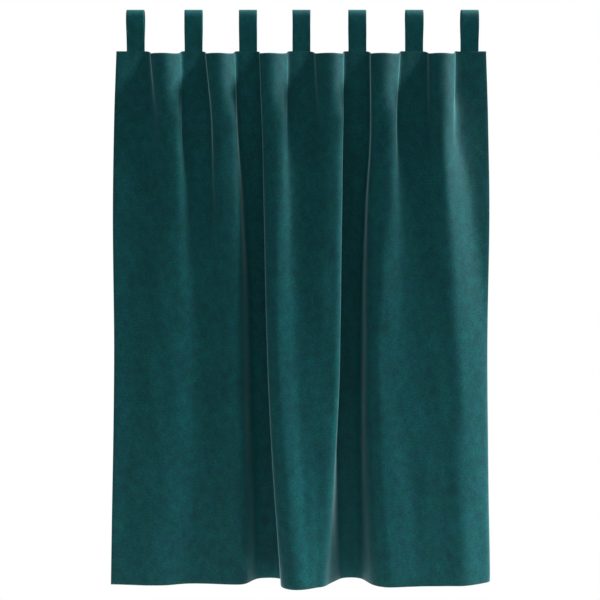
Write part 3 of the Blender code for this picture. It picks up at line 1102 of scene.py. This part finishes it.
def stitch_rows(sizes, middle, normals):
    """Each row of stitches on the hems: its name, its points and the directions out of the cloth."""
    lift = sizes.cloth_thickness / 2 + STITCH_RADIUS * (1 - STITCH_SINK)
    surface = middle + normals * lift
    across = sizes.columns + 1
    down = sizes.rows + 1
    drops = middle[:, middle.shape[1] // 2, 2]
    free = slice(HEM_LINES, HEM_LINES + down)
    low = drops.min() + sizes.bottom_hem + SIDE_ROW_END
    high = drops.max() - sizes.heading_hem - SIDE_ROW_END
    within = (drops[free] > low) & (drops[free] < high)
    body = slice(HEM_LINES, HEM_LINES + across)
    rows = {}
    for name, depth, at_start in (
        ("heading_stitches", sizes.heading_hem, True),
        ("hem_stitches", sizes.bottom_hem, False),
    ):
        rows[name] = [hem_row(grid, down, depth, at_start)[body] for grid in (surface, normals)]
    for name, at_start in (("left_stitches", True), ("right_stitches", False)):
        grids = [grid.transpose(1, 0, 2) for grid in (surface, normals)]
        rows[name] = [hem_row(g, across, sizes.side_hem, at_start)[free][within] for g in grids]
    return rows


# ---------------------------------------------------------------- operators


# The soft light is the same from any distance: this one only places it in the viewport.
LIGHT_DISTANCE = 3.0


def sizes_of(context):
    return context.scene.drape_sizes


def carry(piece, node):
    """Hangs a piece on the frame's one body, in place of a node if it has one."""
    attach(piece, "root")
    if node:
        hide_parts(node)


class DRAPE_OT_cloth(bpy.types.Operator):
    """Make the velvet cloth on its folds, with its hems turned to the back"""

    bl_idname = "drape.cloth"
    bl_label = "Velvet cloth"

    def execute(self, context):
        sizes = sizes_of(context)
        finish = context.scene.velvet_finish
        hung = HungCloth(sizes)
        columns, rows = cut_lines(sizes, hung)
        middle, maps = cloth_middle(sizes, hung, columns, rows)
        materials = [pile_material("velvet_pile", finish), ground_material("velvet_ground", finish)]
        half = sizes.cloth_thickness / 2
        normals = surface_normals(middle)
        cloth = closed_sheet("velvet_cloth", middle, normals, half, maps, materials)
        carry(cloth, "drape")
        stitches = self.make_stitches(sizes, finish, middle, normals)
        return {"FINISHED"}

    def make_stitches(self, sizes, finish, middle, normals):
        """Sews down the inner edge of each hem, on the back."""
        material = thread_material(finish)
        model = stitch_model()
        made = []
        rows = stitch_rows(sizes, middle, normals)
        for seed, (name, (line, out)) in enumerate(rows.items()):
            row = stitches_along(name, model, line, out, sizes.stitch_pitch, material, seed)
            carry(row, None)
            made.append(row)
        bpy.data.objects.remove(model)
        return made


class DRAPE_OT_tabs(bpy.types.Operator):
    """Make the seven tabs that the drape hangs by"""

    bl_idname = "drape.tabs"
    bl_label = "Tabs"

    def execute(self, context):
        sizes = sizes_of(context)
        # The tabs' pile is painted lighter: painted light for the shade on their legs.
        material = pile_material("tab_pile", context.scene.velvet_finish, TAB_PAINTED_LIGHT)
        for number in range(1, len(TAB_CENTRES) + 1):
            tab, length = tab_object(sizes, number, material)
            carry(tab, f"tab_{number}")
        return {"FINISHED"}


class DRAPE_OT_studio(bpy.types.Operator):
    """Make the floor, the soft light and the camera"""

    bl_idname = "drape.studio"
    bl_label = "Studio"

    def execute(self, context):
        studio = context.scene.drape_studio
        self.make_floor(context, studio)
        self.make_light(context, studio)
        self.make_camera(context, studio)
        context.scene.view_settings.view_transform = "Standard"
        return {"FINISHED"}

    def make_floor(self, context, studio):
        select_none()
        height = sizes_of(context).hem_z - studio.floor_drop
        bpy.ops.mesh.primitive_plane_add(size=studio.floor_size, location=(0, 0, height))
        floor = context.object
        floor.name = "studio_floor"
        bpy.ops.object.transform_apply(location=True, rotation=True, scale=True)
        floor.data.materials.append(floor_material())

    def make_light(self, context, studio):
        world = context.scene.world or bpy.data.worlds.new("soft_dome")
        context.scene.world = world
        world.use_nodes = True
        background = world.node_tree.nodes["Background"]
        background.inputs["Color"].default_value = (1.0, 1.0, 1.0, 1.0)
        background.inputs["Strength"].default_value = studio.dome_strength
        key = bpy.data.lights.new("key_light", "SUN")
        key.energy = studio.key_strength
        key.angle = studio.key_spread
        light = bpy.data.objects.new("key_light", key)
        level = np.cos(studio.key_height)
        right, front = np.sin(studio.key_side), np.cos(studio.key_side)
        towards = Vector((right * level, -front * level, np.sin(studio.key_height)))
        light.rotation_euler = towards.to_track_quat("Z", "Y").to_euler()
        light.location = towards * LIGHT_DISTANCE
        context.scene.collection.objects.link(light)

    def make_camera(self, context, studio):
        camera = bpy.data.cameras.new("studio_camera")
        camera.lens = studio.lens
        holder = bpy.data.objects.new("studio_camera", camera)
        holder.location = studio.camera_place
        holder.rotation_euler = (np.pi / 2, 0, 0)
        context.scene.collection.objects.link(holder)
        context.scene.camera = holder


class DRAPE_PT_pieces(bpy.types.Panel):
    """Lists the buttons that make the drape's pieces and its studio"""

    bl_idname = "DRAPE_PT_pieces"
    bl_label = "Tab-top velvet drape"
    bl_space_type = "VIEW_3D"
    bl_region_type = "UI"
    bl_category = "Drape"

    def draw(self, context):
        column = self.layout.column(align=True)
        for operator in OPERATORS:
            column.operator(operator.bl_idname)


OPERATORS = (DRAPE_OT_cloth, DRAPE_OT_tabs, DRAPE_OT_studio)
GROUPS = (DrapeSizes, VelvetFinish, DrapeStudio)


def register():
    for kind in (*GROUPS, *OPERATORS, DRAPE_PT_pieces):
        bpy.utils.register_class(kind)
    bpy.types.Scene.drape_sizes = PointerProperty(type=DrapeSizes)
    bpy.types.Scene.velvet_finish = PointerProperty(type=VelvetFinish)
    bpy.types.Scene.drape_studio = PointerProperty(type=DrapeStudio)


def unregister():
    del bpy.types.Scene.drape_studio
    del bpy.types.Scene.velvet_finish
    del bpy.types.Scene.drape_sizes
    for kind in (DRAPE_PT_pieces, *reversed(OPERATORS), *reversed(GROUPS)):
        bpy.utils.unregister_class(kind)


def main():
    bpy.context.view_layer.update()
    register()
    bpy.ops.drape.tabs()
    bpy.ops.drape.cloth()
    bpy.ops.drape.studio()


if __name__ == "__main__":
    main()
